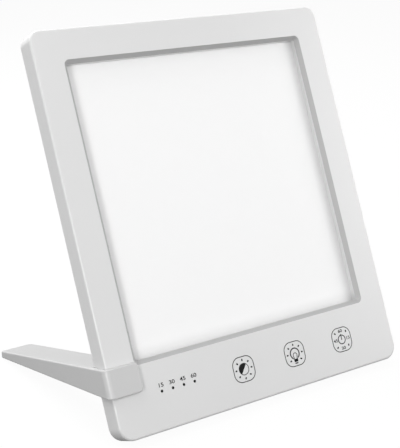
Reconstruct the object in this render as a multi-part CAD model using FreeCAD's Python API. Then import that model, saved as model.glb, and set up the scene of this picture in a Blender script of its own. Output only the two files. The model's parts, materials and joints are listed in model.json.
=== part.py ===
import FreeCAD, Part
import math
import os

# Tablet-shaped light therapy lamp that leans back on one clip-on foot.
# All sizes are in millimetres and all angles in degrees.
# Panel frame: x right from the middle of the panel, y back from the front face,
# z up the face from the bottom edge. Ground frame: the same x, y back from the
# bottom front corner of the face, z up from the table.

Vector = FreeCAD.Vector
Placement = FreeCAD.Placement
Rotation = FreeCAD.Rotation
x_axis = Vector(1, 0, 0)
y_axis = Vector(0, 1, 0)
z_axis = Vector(0, 0, 1)

# Panel housing
panel_width = 201.0
panel_height = 229.0
panel_depth = 13.5
lean_angle = 24.0
top_corner_radius = 6.5
bottom_corner_radius = 8.5
edge_radius = 1.2
side_wall = 2.5
face_wall = 2.0
cover_wall = 2.0
cover_gap = 0.2
cover_edge_radius = 0.4

# Window and the optical stack behind it, front to back
window_side_margin = 18.6
window_top_margin = 17.9
window_bottom_margin = 39.2
window_corner_radius = 3.0
window_edge_radius = 0.4
window_depth = 5.5
window_rim_wall = 1.6
stack_lip = 3.0
stack_corner_radius = 1.0
diffuser_thickness = 1.6
guide_thickness = 2.5
reflector_thickness = 0.3
tray_thickness = 0.6
chip_gap = 0.3
chip_thickness = 0.8
chip_width = 1.4
chip_length = 3.0
chip_count = 28
bar_thickness = 1.0
bar_end_margin = 2.0
foam_width = 10.0
foam_end_margin = 20.0
locator_gap = 0.3
locator_wall = 1.2
locator_length = 12.0
locator_height = 8.0
locator_side_share = 0.3
locator_end_share = 0.35

# Screws and their bosses
boss_radius = 2.8
screw_rim = 0.8
screw_radius = 1.1
screw_hole_gap = 0.05
screw_length = 7.0
head_radius = 2.4
head_height = 1.2
head_gap = 0.2
head_edge_radius = 0.35
recess_radius = 0.9
recess_depth = 0.6

# Control board, its touch keys and its timer lights
board_front = 6.4
board_thickness = 1.6
board_left_margin = 20.0
board_end_gap = 0.6
board_top_gap = 3.2
board_corner_radius = 1.5
key_height = 20.0
key_last_margin = 40.2
key_pitch = 37.3
key_names = ["brightness", "light", "timer"]
spring_disc_radius = 6.5
spring_disc_thickness = 0.5
spring_outer_radius = 3.5
spring_inner_radius = 2.6
spring_base_radius = 4.5
light_height = 21.5
light_first_margin = 30.6
light_pitch = 7.25
light_minutes = [15, 30, 45, 60]
lens_radius = 0.8
lens_gap = 0.05
lens_collar_radius = 1.5
lens_collar_thickness = 0.8
lens_to_led_gap = 0.2
led_size = 1.6
led_thickness = 0.8
board_screw_side_inset = 3.5
board_screw_end_inset = 3.0
board_screw_jack_gap = 8.3
board_boss_radius = 2.4
board_screw_length = 4.5

# Parts on the back of the board, each placed from the middle key
controller_place = (-19.0, 0.0)
controller_size = (10.0, 1.6, 4.0)
coil_place = (10.0, -3.0)
coil_radius = 4.0
coil_height = 3.0
coil_base = 8.6
coil_base_thickness = 0.6
transistor_place = (29.0, -1.5)
transistor_size = (6.6, 2.3, 6.1)
transistor_tab = (5.2, 0.5, 1.4)
capacitor_place = (-55.0, 0.0)
capacitor_radius = 3.1
capacitor_height = 3.1
capacitor_base = 6.6
capacitor_base_thickness = 0.8

# Power inlet in the right edge
jack_body = (13.0, 8.0, 9.0)
jack_edge_radius = 0.5
jack_nose_radius = 3.9
jack_nose_gap = 0.15
jack_nose_recess = 0.3
jack_bore_radius = 2.8
jack_bore_depth = 9.5
jack_pin_radius = 1.0
jack_pin_setback = 1.0
jack_pin_tip = 0.4
jack_ear = 2.0
jack_ear_thickness = 0.6
jack_ear_length = 6.0
jack_ear_inset = 1.0
jack_notch_gap = 0.2

# Leads from the board to the light bars
socket_size = (8.0, 2.6, 5.0)
socket_left_inset = (10.0, 9.5)
socket_right_inset = (16.3, 2.5)
lead_radius = 0.45
lead_tray_gap = 0.3
lead_bend_share = 0.45

# Clip-on foot: front flap, side wall and wedge-shaped arm in one shell
foot_width = 21.0
foot_reach = 148.3
flap_low = 24.1
flap_high = 40.8
flap_thickness = 2.5
clip_wall = 2.5
slot_gap = 0.3
tip_height = 5.0
tip_clearance = 0.3
clip_corner_radius = 4.0
flap_corner_radius = 2.4
tip_near_radius = 1.2
tip_far_radius = 3.5
foot_edge_radius = 0.9
jaw_wall = 3.0
foot_wall = 2.2
hollow_end = 36.0
foot_cover_wall = 1.6
foot_cover_lip = 1.1
foot_cover_gap = 0.15
foot_cover_corner_radius = 2.5
foot_boss_radius = 2.7
foot_screw_end_inset = 7.0
foot_screw_length = 6.0
pad_thickness = 0.8
pad_proud = 0.2
pad_side_inset = 3.0
pad_length = 11.5
pad_end_inset = 3.2
pad_corner_radius = 1.0
tip_pad_length = 5.3
tip_pad_setback = 1.2
tip_pad_side_inset = 3.0
tip_pad_depth = 1.3
tip_pad_gap = 0.1
grip_pocket_gap = 0.15

# Help values of the modelling: how far a cut runs past a face, and what counts as equal
overshoot = 1.0
tolerance = 1e-6

# Places that follow from the sizes above
half_width = panel_width / 2
cover_front = panel_depth - cover_wall
window_left = -half_width + window_side_margin
window_right = half_width - window_side_margin
window_low = window_bottom_margin
window_high = panel_height - window_top_margin
stack_left = window_left - stack_lip
stack_right = window_right + stack_lip
stack_low = window_low - stack_lip
stack_high = window_high + stack_lip
guide_front = window_depth + diffuser_thickness
reflector_front = guide_front + guide_thickness
tray_front = reflector_front + reflector_thickness
tray_back = tray_front + tray_thickness
bar_inside = stack_right + chip_gap + chip_thickness
tray_inside = bar_inside + bar_thickness
tray_outside = tray_inside + tray_thickness
bar_low = stack_low + bar_end_margin
bar_high = stack_high - bar_end_margin
screw_hole_radius = screw_radius + screw_hole_gap
screw_inset = side_wall + cover_gap + screw_rim + head_radius + head_gap
low_corner_inset = bottom_corner_radius - (bottom_corner_radius - screw_inset) / math.sqrt(2)
high_corner_inset = top_corner_radius - (top_corner_radius - screw_inset) / math.sqrt(2)
cover_screw_places = [(0, screw_inset), (0, panel_height - screw_inset)]
for side in (-1, 1):
    cover_screw_places += [
        (side * (half_width - low_corner_inset), low_corner_inset),
        (side * (half_width - screw_inset), panel_height / 2),
        (side * (half_width - high_corner_inset), panel_height - high_corner_inset),
    ]
jack_depth = panel_depth / 2
jack_mouth = half_width - jack_nose_recess
jack_shoulder = half_width - side_wall - jack_notch_gap
jack_back = jack_shoulder - jack_body[0]
jack_bore_end = jack_mouth - jack_bore_depth
key_middle = half_width - key_last_margin - key_pitch
key_places = [key_middle + step * key_pitch for step in (-1, 0, 1)]
light_places = [
    -half_width + light_first_margin + step * light_pitch for step in range(len(light_minutes))
]
board_back = board_front + board_thickness
board_left = -half_width + board_left_margin
board_right = half_width - low_corner_inset - boss_radius - board_end_gap
board_bottom = screw_inset + boss_radius + board_end_gap
board_top = stack_low - locator_gap - locator_wall - board_top_gap
board_screw_places = [
    (board_left + board_screw_side_inset, board_bottom + board_screw_end_inset),
    (board_left + board_screw_side_inset, board_top - board_screw_end_inset),
    (key_middle + key_pitch / 2, board_top - board_screw_end_inset),
    (jack_back - board_screw_jack_gap, board_bottom + board_screw_end_inset),
]
socket_places = [
    (board_left + socket_left_inset[0], board_top - socket_left_inset[1]),
    (jack_back - socket_right_inset[0], board_top - socket_right_inset[1]),
]

# The lowest line of the leaning panel is the rounded back edge of its bottom.
lean = math.radians(lean_angle)
panel_rise = (
    (panel_depth - edge_radius) * math.sin(lean)
    - edge_radius * math.cos(lean)
    + edge_radius
)
panel_front = edge_radius * (math.cos(lean) + math.sin(lean) - 1)
foot_outside = -half_width - clip_wall
foot_inside = foot_outside + foot_width

# The row's origin is below the middle of the whole lamp, on the table.
origin_x = (foot_outside + half_width) / 2
origin_y = (panel_front + foot_reach) / 2
to_row = Placement(Vector(-origin_x, -origin_y, 0), Rotation())
panel_to_ground = Placement(Vector(0, 0, panel_rise), Rotation(x_axis, -lean_angle))


def in_ground(shape):
    """Place a shape of the panel frame in the ground frame."""
    placed = shape.copy()
    placed.Placement = panel_to_ground.multiply(placed.Placement)
    return placed


def on_panel(height, depth):
    """Ground-frame y and z of a point up the face and behind it."""
    point = panel_to_ground.multVec(Vector(0, depth, height))
    return point.y, point.z


def block(x_range, y_range, z_range):
    corner = Vector(x_range[0], y_range[0], z_range[0])
    size = [high - low for low, high in (x_range, y_range, z_range)]
    return Part.makeBox(size[0], size[1], size[2], corner)


def edges_along(shape, direction):
    """Straight edges of a shape that run in one direction."""
    found = []
    for edge in shape.Edges:
        if isinstance(edge.Curve, Part.Line):
            way = edge.tangentAt(edge.FirstParameter)
            if abs(abs(way.dot(direction)) - 1) < tolerance:
                found.append(edge)
    return found


def edges_at_depth(shape, depth):
    """Edges that lie whole in the plane y = depth."""
    def lies_there(edge):
        box = edge.BoundBox
        return abs(box.YMin - depth) < tolerance and abs(box.YMax - depth) < tolerance

    return [edge for edge in shape.Edges if lies_there(edge)]


def sharp_edges(solid):
    """Edges where two faces of a solid meet at an angle."""
    found = []
    for edge in solid.Edges:
        middle = edge.valueAt((edge.FirstParameter + edge.LastParameter) / 2)
        normals = []
        for face in solid.ancestorsOfType(edge, Part.Face):
            u, v = face.Surface.parameter(middle)
            normals.append(face.normalAt(u, v))
        if normals[0].cross(normals[-1]).Length > tolerance:
            found.append(edge)
    return found


def rounded_block(x_range, y_range, z_range, radius, direction):
    solid = block(x_range, y_range, z_range)
    return solid.makeFillet(radius, edges_along(solid, direction))


def panel_plate(x_range, z_range, low_radius, high_radius, y_range):
    """Plate parallel to the face, with its own radius at the low and the high corners."""
    left, right = x_range
    low, high = z_range
    corners = [
        (right - low_radius, low + low_radius, low_radius, -90),
        (right - high_radius, high - high_radius, high_radius, 0),
        (left + high_radius, high - high_radius, high_radius, 90),
        (left + low_radius, low + low_radius, low_radius, 180),
    ]

    def on_arc(corner, turn):
        x, z, radius, start = corner
        angle = math.radians(start + turn)
        return Vector(x + radius * math.cos(angle), y_range[0], z + radius * math.sin(angle))

    edges = []
    for place, corner in enumerate(corners):
        following = corners[(place + 1) % len(corners)]
        arc = Part.Arc(on_arc(corner, 0), on_arc(corner, 45), on_arc(corner, 90))
        edges.append(arc.toShape())
        edges.append(Part.makeLine(on_arc(corner, 90), on_arc(following, 0)))
    face = Part.Face(Part.Wire(edges))
    return face.extrude(Vector(0, y_range[1] - y_range[0], 0))


def housing_plate(inset, y_range):
    """Plate with the panel's outline, drawn in by an inset on every side."""
    return panel_plate(
        (-half_width + inset, half_width - inset),
        (inset, panel_height - inset),
        bottom_corner_radius - inset,
        top_corner_radius - inset,
        y_range,
    )


def window_plate(grow, y_range):
    return panel_plate(
        (window_left - grow, window_right + grow),
        (window_low - grow, window_high + grow),
        window_corner_radius + grow,
        window_corner_radius + grow,
        y_range,
    )


def stack_plate(front, thickness):
    return panel_plate(
        (stack_left, stack_right),
        (stack_low, stack_high),
        stack_corner_radius,
        stack_corner_radius,
        (front, front + thickness),
    )


def rod(place, radius, y_range):
    """Round bar square to the face, at an x and z place."""
    start = Vector(place[0], y_range[0], place[1])
    return Part.makeCylinder(radius, y_range[1] - y_range[0], start, y_axis)


def screw(length):
    """Pan-head screw on the y axis: its head rises towards +y from y = 0."""
    shank = rod((0, 0), screw_radius, (-length, 0))
    tip = Part.makeCone(0, screw_radius, screw_radius, Vector(0, -length - screw_radius, 0), y_axis)
    head = rod((0, 0), head_radius, (0, head_height))
    head = head.makeFillet(head_edge_radius, edges_at_depth(head, head_height))
    recess = rod((0, 0), recess_radius, (head_height - recess_depth, head_height))
    return shank.fuse([tip, head]).cut(recess).removeSplitter()


def screws_at(places, length, seat):
    one = screw(length)
    placed = []
    for x, z in places:
        copy = one.copy()
        copy.translate(Vector(x, seat, z))
        placed.append(copy)
    return Part.makeCompound(placed)


def front_bezel():
    shell = housing_plate(0, (0, panel_depth))
    rim = edges_at_depth(shell, 0) + edges_at_depth(shell, panel_depth)
    shell = shell.makeFillet(edge_radius, rim)
    shell = shell.cut(housing_plate(side_wall, (face_wall, panel_depth)))
    rim_wall = window_plate(window_rim_wall, (face_wall / 2, window_depth))
    opening = window_plate(0, (0, window_depth))
    shell = shell.fuse(rim_wall).cut(opening)
    shell = shell.makeFillet(window_edge_radius, window_front_edges(shell))
    added = [rod(place, boss_radius, (face_wall / 2, cover_front)) for place in cover_screw_places]
    added += [
        rod(place, board_boss_radius, (face_wall / 2, board_front))
        for place in board_screw_places
    ]
    added += tray_locators()
    cavity_walls = housing_plate(side_wall / 2, (face_wall / 2, cover_front))
    shell = shell.fuse([piece.common(cavity_walls) for piece in added])
    return shell.cut(bezel_holes()).removeSplitter()


def window_front_edges(shell):
    """Front edges of the window, without the outline of the panel."""
    found = []
    for edge in edges_at_depth(shell, 0):
        box = edge.BoundBox
        inside_x = box.XMin > window_left - overshoot and box.XMax < window_right + overshoot
        inside_z = box.ZMin > window_low - overshoot and box.ZMax < window_high + overshoot
        if inside_x and inside_z:
            found.append(edge)
    return found


def tray_locators():
    """Short ribs inside the bezel that centre the tray on the window."""
    ribs = []
    depth = (face_wall / 2, face_wall + locator_height)
    span_x = tray_outside * 2
    span_z = stack_high - stack_low
    middle_z = (stack_low + stack_high) / 2
    side_start = tray_outside + locator_gap
    for side in (-1, 1):
        x_range = sorted((side * side_start, side * (side_start + locator_wall)))
        for end in (-1, 1):
            z = middle_z + end * locator_side_share * span_z
            ribs.append(block(x_range, depth, (z - locator_length / 2, z + locator_length / 2)))
            x = end * locator_end_share * span_x
            edge = stack_high + locator_gap if side > 0 else stack_low - locator_gap
            z_range = sorted((edge, edge + side * locator_wall))
            ribs.append(block((x - locator_length / 2, x + locator_length / 2), depth, z_range))
    return ribs


def bezel_holes():
    holes = [
        rod(place, screw_hole_radius, (cover_front - screw_length - screw_radius, panel_depth))
        for place in cover_screw_places
    ]
    holes += [
        rod(place, screw_hole_radius, (board_back - board_screw_length - screw_radius, panel_depth))
        for place in board_screw_places
    ]
    through_face = (-overshoot, face_wall + overshoot)
    holes += [rod((x, light_height), lens_radius + lens_gap, through_face) for x in light_places]
    inlet = Vector(half_width - 2 * side_wall, jack_depth, key_height)
    holes.append(Part.makeCylinder(jack_nose_radius + jack_nose_gap, 3 * side_wall, inlet, x_axis))
    return holes


def rear_cover():
    cover = housing_plate(side_wall + cover_gap, (cover_front, panel_depth))
    cover = cover.makeFillet(cover_edge_radius, edges_at_depth(cover, panel_depth))
    for place in cover_screw_places:
        cover = cover.cut(rod(place, screw_hole_radius + head_gap, (cover_front, panel_depth)))
        cover = cover.cut(rod(place, head_radius + head_gap, (panel_depth - head_height, panel_depth)))
    return cover


def back_tray():
    """Metal backing sheet with a turned-up flange behind each light bar."""
    sheet = block((-tray_outside, tray_outside), (tray_front, tray_back), (stack_low, stack_high))
    flanges = [
        block(x_range, (guide_front, tray_back), (stack_low, stack_high))
        for x_range in ((-tray_outside, -tray_inside), (tray_inside, tray_outside))
    ]
    return sheet.fuse(flanges).removeSplitter()


def light_bar(side):
    x_range = sorted((side * bar_inside, side * tray_inside))
    return block(x_range, (guide_front, tray_front), (bar_low, bar_high))


def light_chips(side):
    face = stack_right + chip_gap
    x_range = sorted((side * face, side * bar_inside))
    middle = guide_front + guide_thickness / 2
    pitch = (bar_high - bar_low) / chip_count
    chips = []
    for step in range(chip_count):
        z = bar_low + (step + 0.5) * pitch
        chips.append(
            block(
                x_range,
                (middle - chip_width / 2, middle + chip_width / 2),
                (z - chip_length / 2, z + chip_length / 2),
            )
        )
    return Part.makeCompound(chips)


def foam_strips():
    """Soft strips that press the optical stack forward against the window rim."""
    strips = []
    length = (stack_low + foam_end_margin, stack_high - foam_end_margin)
    for x in (stack_left + foam_width, 0, stack_right - foam_width):
        strips.append(block((x - foam_width / 2, x + foam_width / 2), (tray_back, cover_front), length))
    return Part.makeCompound(strips)


def control_board():
    board = rounded_block(
        (board_left, board_right),
        (board_front, board_back),
        (board_bottom, board_top),
        board_corner_radius,
        y_axis,
    )
    half_notch = jack_body[2] / 2 + jack_notch_gap
    notch = block(
        (jack_back - jack_notch_gap, board_right + overshoot),
        (board_front - overshoot, board_back + overshoot),
        (key_height - half_notch, key_height + half_notch),
    )
    holes = [
        rod(place, screw_hole_radius + head_gap, (board_front, board_back))
        for place in board_screw_places
    ]
    return board.cut([notch] + holes)


def touch_spring(x):
    """Sensing spring of one touch key, from the board up to the inside of the face."""
    place = (x, key_height)
    disc = rod(place, spring_disc_radius, (face_wall, face_wall + spring_disc_thickness))
    column = rod(place, spring_outer_radius, (face_wall, board_front))
    bore = rod(place, spring_inner_radius, (face_wall + spring_disc_thickness, board_front))
    base = rod(place, spring_base_radius, (board_front - spring_disc_thickness, board_front))
    return disc.fuse([column, base]).cut(bore).removeSplitter()


def timer_lens(x):
    """Light pipe of one timer light, with a collar behind the face."""
    place = (x, light_height)
    back = board_front - led_thickness - lens_to_led_gap
    pipe = rod(place, lens_radius, (0, back))
    collar = rod(place, lens_collar_radius, (face_wall, face_wall + lens_collar_thickness))
    return pipe.fuse(collar).removeSplitter()


def timer_leds():
    half = led_size / 2
    depth = (board_front - led_thickness, board_front)
    return Part.makeCompound(
        [
            block((x - half, x + half), depth, (light_height - half, light_height + half))
            for x in light_places
        ]
    )


def from_middle_key(place):
    return key_middle + place[0], key_height + place[1]


def board_block(place, size):
    """Block of a given width, thickness and height on the back of the board."""
    x, z = place
    width, thickness, height = size
    return block(
        (x - width / 2, x + width / 2),
        (board_back, board_back + thickness),
        (z - height / 2, z + height / 2),
    )


def round_on_base(place, radius, height, base, base_thickness):
    foot = board_block(place, (base, base_thickness, base))
    can = rod(place, radius, (board_back, board_back + height))
    return can.fuse(foot).removeSplitter()


def driver_transistor():
    x, z = from_middle_key(transistor_place)
    body = board_block((x, z), transistor_size)
    tab_height = z + transistor_size[2] / 2 + transistor_tab[2] / 2
    return body.fuse(board_block((x, tab_height), transistor_tab))


def dc_jack_body():
    length, depth, height = jack_body
    body = rounded_block(
        (jack_back, jack_shoulder),
        (jack_depth - depth / 2, jack_depth + depth / 2),
        (key_height - height / 2, key_height + height / 2),
        jack_edge_radius,
        x_axis,
    )
    start = Vector(jack_shoulder, jack_depth, key_height)
    nose = Part.makeCylinder(jack_nose_radius, jack_mouth - jack_shoulder, start, x_axis)
    ears = block(
        (jack_back + jack_ear_inset, jack_back + jack_ear_inset + jack_ear_length),
        (board_back, board_back + jack_ear_thickness),
        (key_height - height / 2 - jack_ear, key_height + height / 2 + jack_ear),
    )
    bore_start = Vector(jack_bore_end, jack_depth, key_height)
    bore = Part.makeCylinder(jack_bore_radius, jack_bore_depth, bore_start, x_axis)
    return body.fuse([nose, ears]).cut(bore).removeSplitter()


def dc_jack_pin():
    length = jack_bore_depth - jack_pin_setback
    start = Vector(jack_bore_end, jack_depth, key_height)
    pin = Part.makeCylinder(jack_pin_radius, length, start, x_axis)
    tip = [edge for edge in pin.Edges if edge.BoundBox.XMin > jack_bore_end + length - tolerance]
    return pin.makeFillet(jack_pin_tip, tip)


def led_lead(place, side):
    """Twin lead from a socket on the board round one bend to the end of a light bar."""
    depth = tray_front - lead_tray_gap - lead_radius
    start = Vector(place[0] + side * socket_size[0] / 2, depth, place[1])
    corner = Vector(side * (bar_inside + bar_thickness / 2), depth, place[1])
    end = Vector(corner.x, depth, bar_low)
    run = min((corner - start).Length, (end - corner).Length)
    radius = lead_bend_share * run
    centre = corner + Vector(-side * radius, 0, radius)
    diagonal = radius / math.sqrt(2)
    arc = Part.Arc(
        Vector(centre.x, depth, corner.z),
        Vector(centre.x + side * diagonal, depth, centre.z - diagonal),
        Vector(corner.x, depth, centre.z),
    ).toShape()
    path = Part.Wire(
        [
            Part.makeLine(start, arc.Vertexes[0].Point),
            arc,
            Part.makeLine(arc.Vertexes[-1].Point, end),
        ]
    )
    section = Part.Wire(Part.makeCircle(lead_radius, start, x_axis))
    lead = path.makePipeShell([section], True, False)
    expected = math.pi * lead_radius**2 * path.Length
    print("lead bend radius", round(radius, 2), "volume share", round(lead.Volume / expected, 4))
    return lead


# The foot is made in the ground frame. Its top and its sole are two sloping planes
# that also bound the front flap.
flap_front_low = on_panel(flap_low, -flap_thickness)
flap_front_high = on_panel(flap_high, -flap_thickness)
sole_slope = math.degrees(
    math.atan2(flap_front_low[1] - tip_clearance, foot_reach - flap_front_low[0])
)
top_slope = math.degrees(
    math.atan2(flap_front_high[1] - tip_height, foot_reach - flap_front_high[0])
)
sole_frame = Placement(Vector(0, foot_reach, tip_clearance), Rotation(x_axis, 180 - sole_slope))
top_frame = Placement(Vector(0, foot_reach, tip_height), Rotation(x_axis, 180 - top_slope))
jaw_back = panel_depth + slot_gap + jaw_wall
far = 2 * (foot_reach + panel_height)


def on_plane(shape, frame):
    """Place a shape whose y runs from the tip to the front and whose z points down."""
    placed = shape.copy()
    placed.Placement = frame.multiply(placed.Placement)
    return placed


def foot_wedge():
    outline = [
        flap_front_low,
        (foot_reach, tip_clearance),
        (foot_reach, tip_height),
        flap_front_high,
    ]
    points = [Vector(foot_outside, y, z) for y, z in outline]
    face = Part.Face(Part.makePolygon(points + points[:1]))
    return face.extrude(Vector(foot_width, 0, 0))


def between_depths(start, end, left=-far):
    """All the space between two depths behind the face, right of a given x."""
    return in_ground(block((left, far), (start, end), (-far, far)))


def foot_cover_plate(gap, thickness):
    """Rounded plate flush with the sole, from the hollow's end to the rear jaw."""
    inset = foot_wall - foot_cover_lip - gap
    plate = rounded_block(
        (foot_outside + inset, foot_inside - inset),
        (hollow_end - foot_cover_lip - gap, foot_cover_front() + gap),
        (-thickness, 0),
        foot_cover_corner_radius,
        z_axis,
    )
    return on_plane(plate, sole_frame)


def foot_cover_front():
    """Distance from the tip, along the sole, of the cover's end at the rear jaw."""
    jaw_y, _ = on_panel(flap_low, jaw_back)
    return (foot_reach - jaw_y) / math.cos(math.radians(sole_slope)) - 2 * foot_cover_lip


def foot_screw_places():
    """Distances from the tip, along the sole, of the screws on the middle line."""
    return [hollow_end + foot_screw_end_inset, foot_cover_front() - foot_screw_end_inset]


def on_sole(radius, distance, z_range):
    middle = (foot_outside + foot_inside) / 2
    start = Vector(middle, distance, z_range[0])
    peg = Part.makeCylinder(radius, z_range[1] - z_range[0], start, z_axis)
    return on_plane(peg, sole_frame)


def grip_pad(front, grow, thickness):
    """Rubber pad of the slot: one behind the flap and one on the rear jaw."""
    start = -half_width + pad_side_inset
    if front:
        height = (flap_low + pad_end_inset, flap_high - pad_end_inset)
        face = -slot_gap + pad_proud
        depth = (face - thickness, face)
    else:
        height = rear_pad_heights()
        face = panel_depth + slot_gap - pad_proud
        depth = (face, face + thickness)
    x_end = min(start + pad_length, foot_inside - pad_side_inset)
    pad = rounded_block(
        (start - grow, x_end + grow),
        depth,
        (height[0] - grow, height[1] + grow),
        pad_corner_radius,
        y_axis,
    )
    return in_ground(pad)


def rear_pad_heights():
    """Where the foot's two sloping planes meet the back of the panel, less the inset."""
    heights = []
    for frame_y, frame_z, slope, sign in (
        (foot_reach, tip_clearance, sole_slope, 1),
        (foot_reach, tip_height, top_slope, -1),
    ):
        y, z = on_panel(0, panel_depth + slot_gap + pad_thickness)
        tangent = math.tan(math.radians(slope))
        rise = frame_z + (frame_y - y) * tangent - z
        up_the_panel = rise / (math.cos(lean) + math.sin(lean) * tangent)
        heights.append(up_the_panel + sign * pad_end_inset)
    return heights


def tip_pad(gap):
    """Rubber strip under the tip, flat where it meets the table."""
    back = foot_reach - tip_pad_setback + gap
    front = foot_reach - tip_pad_setback - tip_pad_length - gap
    tangent = math.tan(math.radians(sole_slope))
    rise = [tip_clearance + (foot_reach - y) * tangent + tip_pad_depth for y in (front, back)]
    start = foot_outside + tip_pad_side_inset - gap
    points = [
        Vector(start, front, 0),
        Vector(start, back, 0),
        Vector(start, back, rise[1]),
        Vector(start, front, rise[0]),
    ]
    face = Part.Face(Part.makePolygon(points + points[:1]))
    return face.extrude(Vector(foot_width - 2 * tip_pad_side_inset + 2 * gap, 0, 0))


def depth_range(edge):
    """Least and greatest depth behind the face of an edge's ends."""
    to_panel = panel_to_ground.inverse()
    depths = [to_panel.multVec(vertex.Point).y for vertex in edge.Vertexes]
    return min(depths), max(depths)


def lies_at_side(edge, x):
    """Whether an edge lies in the plane of one of the foot's sides."""
    return all(abs(vertex.X - x) < tolerance for vertex in edge.Vertexes)


def foot_front(split):
    """Flap and front of the side wall, ahead of a split at half the panel's depth."""
    part = foot_wedge().common(between_depths(-far, split))
    outer = [
        edge
        for edge in part.Edges
        if lies_at_side(edge, foot_outside) and depth_range(edge)[1] < 0
    ]
    part = part.makeFillet(clip_corner_radius, outer)
    free_end = [
        edge
        for edge in part.Edges
        if lies_at_side(edge, foot_inside) and depth_range(edge)[0] < 0 < depth_range(edge)[1]
    ]
    part = part.makeFillet(flap_corner_radius, free_end)
    rim = [edge for edge in sharp_edges(part) if depth_range(edge)[0] < split - tolerance]
    return part.makeFillet(foot_edge_radius, rim)


def foot_back(split):
    """Arm and back of the side wall, behind the split."""
    part = foot_wedge().common(between_depths(split, far))
    for x, radius in ((foot_outside, tip_near_radius), (foot_inside, tip_far_radius)):
        upright = edges_along(part, z_axis)
        part = part.makeFillet(radius, [edge for edge in upright if lies_at_side(edge, x)])
    rim = [edge for edge in sharp_edges(part) if depth_range(edge)[1] > split + tolerance]
    return part.makeFillet(foot_edge_radius, rim)


def foot_hollow():
    """Inside of the arm, open at the sole, from near the tip to the rear jaw."""
    x_range = (foot_outside + foot_wall, foot_inside - foot_wall)
    hollow = on_plane(block(x_range, (hollow_end, far), (-far, overshoot)), sole_frame)
    roof = on_plane(block((-far, far), (-far, far), (-far, foot_wall)), top_frame)
    return hollow.common(between_depths(jaw_back, far)).cut(roof)


def foot_shell():
    split = panel_depth / 2
    shell = foot_front(split).fuse(foot_back(split))
    slot = between_depths(-slot_gap, panel_depth + slot_gap, -half_width - slot_gap)
    hollow = foot_hollow()
    shell = shell.cut([slot, hollow])
    bosses = [
        on_sole(foot_boss_radius, distance, (-far, -foot_cover_wall)).common(hollow)
        for distance in foot_screw_places()
    ]
    screw_depth = foot_cover_wall + foot_screw_length
    cuts = [
        on_sole(screw_hole_radius, distance, (-screw_depth, 0))
        for distance in foot_screw_places()
    ]
    cuts.append(foot_cover_plate(foot_cover_gap, foot_cover_wall))
    cuts.append(grip_pad(True, grip_pocket_gap, pad_thickness))
    cuts.append(grip_pad(False, grip_pocket_gap, pad_thickness))
    cuts.append(tip_pad(tip_pad_gap))
    return shell.fuse(bosses).cut(cuts).removeSplitter()


def foot_cover():
    cover = foot_cover_plate(0, foot_cover_wall)
    for distance in foot_screw_places():
        cover = cover.cut(on_sole(screw_hole_radius + head_gap, distance, (-foot_cover_wall, 0)))
        cover = cover.cut(on_sole(head_radius + head_gap, distance, (-head_height, 0)))
    return cover


def foot_screws():
    """Screws of the foot cover, with their heads sunk in the sole."""
    middle = (foot_outside + foot_inside) / 2
    upright = screw(foot_screw_length - screw_radius - 2 * screw_hole_gap)
    upright.Placement = Placement(Vector(0, 0, 0), Rotation(x_axis, 90))
    placed = []
    for distance in foot_screw_places():
        copy = upright.copy()
        copy.translate(Vector(middle, distance, -head_height))
        placed.append(on_plane(copy, sole_frame))
    return Part.makeCompound(placed)


def panel_pieces():
    """Every piece of the lamp panel, by name, in the panel frame."""
    pieces = {
        "front_bezel": front_bezel(),
        "rear_cover": rear_cover(),
        "cover_screws": screws_at(cover_screw_places, screw_length - cover_wall + head_height,
                                  panel_depth - head_height),
        "diffuser_plate": stack_plate(window_depth, diffuser_thickness),
        "light_guide": stack_plate(guide_front, guide_thickness),
        "reflector_sheet": stack_plate(reflector_front, reflector_thickness),
        "back_tray": back_tray(),
        "foam_strips": foam_strips(),
        "control_board": control_board(),
        "board_screws": screws_at(board_screw_places, board_screw_length, board_back),
        "timer_leds": timer_leds(),
        "controller_chip": board_block(from_middle_key(controller_place), controller_size),
        "driver_coil": round_on_base(
            from_middle_key(coil_place), coil_radius, coil_height, coil_base, coil_base_thickness
        ),
        "driver_transistor": driver_transistor(),
        "smoothing_capacitor": round_on_base(
            from_middle_key(capacitor_place),
            capacitor_radius,
            capacitor_height,
            capacitor_base,
            capacitor_base_thickness,
        ),
        "dc_jack_body": dc_jack_body(),
        "dc_jack_pin": dc_jack_pin(),
    }
    for side, name, place in ((-1, "left", socket_places[0]), (1, "right", socket_places[1])):
        pieces["led_bar_" + name] = light_bar(side)
        pieces["led_chips_" + name] = light_chips(side)
        pieces["lead_socket_" + name] = board_block(place, socket_size)
        pieces["led_lead_" + name] = led_lead(place, side)
    for name, x in zip(key_names, key_places):
        pieces["touch_spring_" + name] = touch_spring(x)
    for minutes, x in zip(light_minutes, light_places):
        pieces["timer_lens_" + str(minutes)] = timer_lens(x)
    return pieces


def foot_pieces():
    """Every piece of the clip-on foot, by name, in the ground frame."""
    return {
        "foot_shell": foot_shell(),
        "foot_cover": foot_cover(),
        "foot_screws": foot_screws(),
        "front_grip_pad": grip_pad(True, 0, pad_thickness),
        "rear_grip_pad": grip_pad(False, 0, pad_thickness),
        "foot_tip_pad": tip_pad(0),
    }


def main():
    os.makedirs("parts", exist_ok=True)
    pieces = {name: in_ground(shape) for name, shape in panel_pieces().items()}
    pieces.update(foot_pieces())
    for name, shape in pieces.items():
        placed = shape.copy()
        placed.Placement = to_row.multiply(placed.Placement)
        placed.exportStep("parts/" + name + ".step")
        print(name, "solids", len(placed.Solids), "valid", placed.isValid(), round(placed.Volume, 1))


main()
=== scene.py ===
# Tablet light therapy lamp on a clip-on foot: finishes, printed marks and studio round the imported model
import json
import math

import bmesh
import bpy
from mathutils import Matrix, Vector


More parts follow.
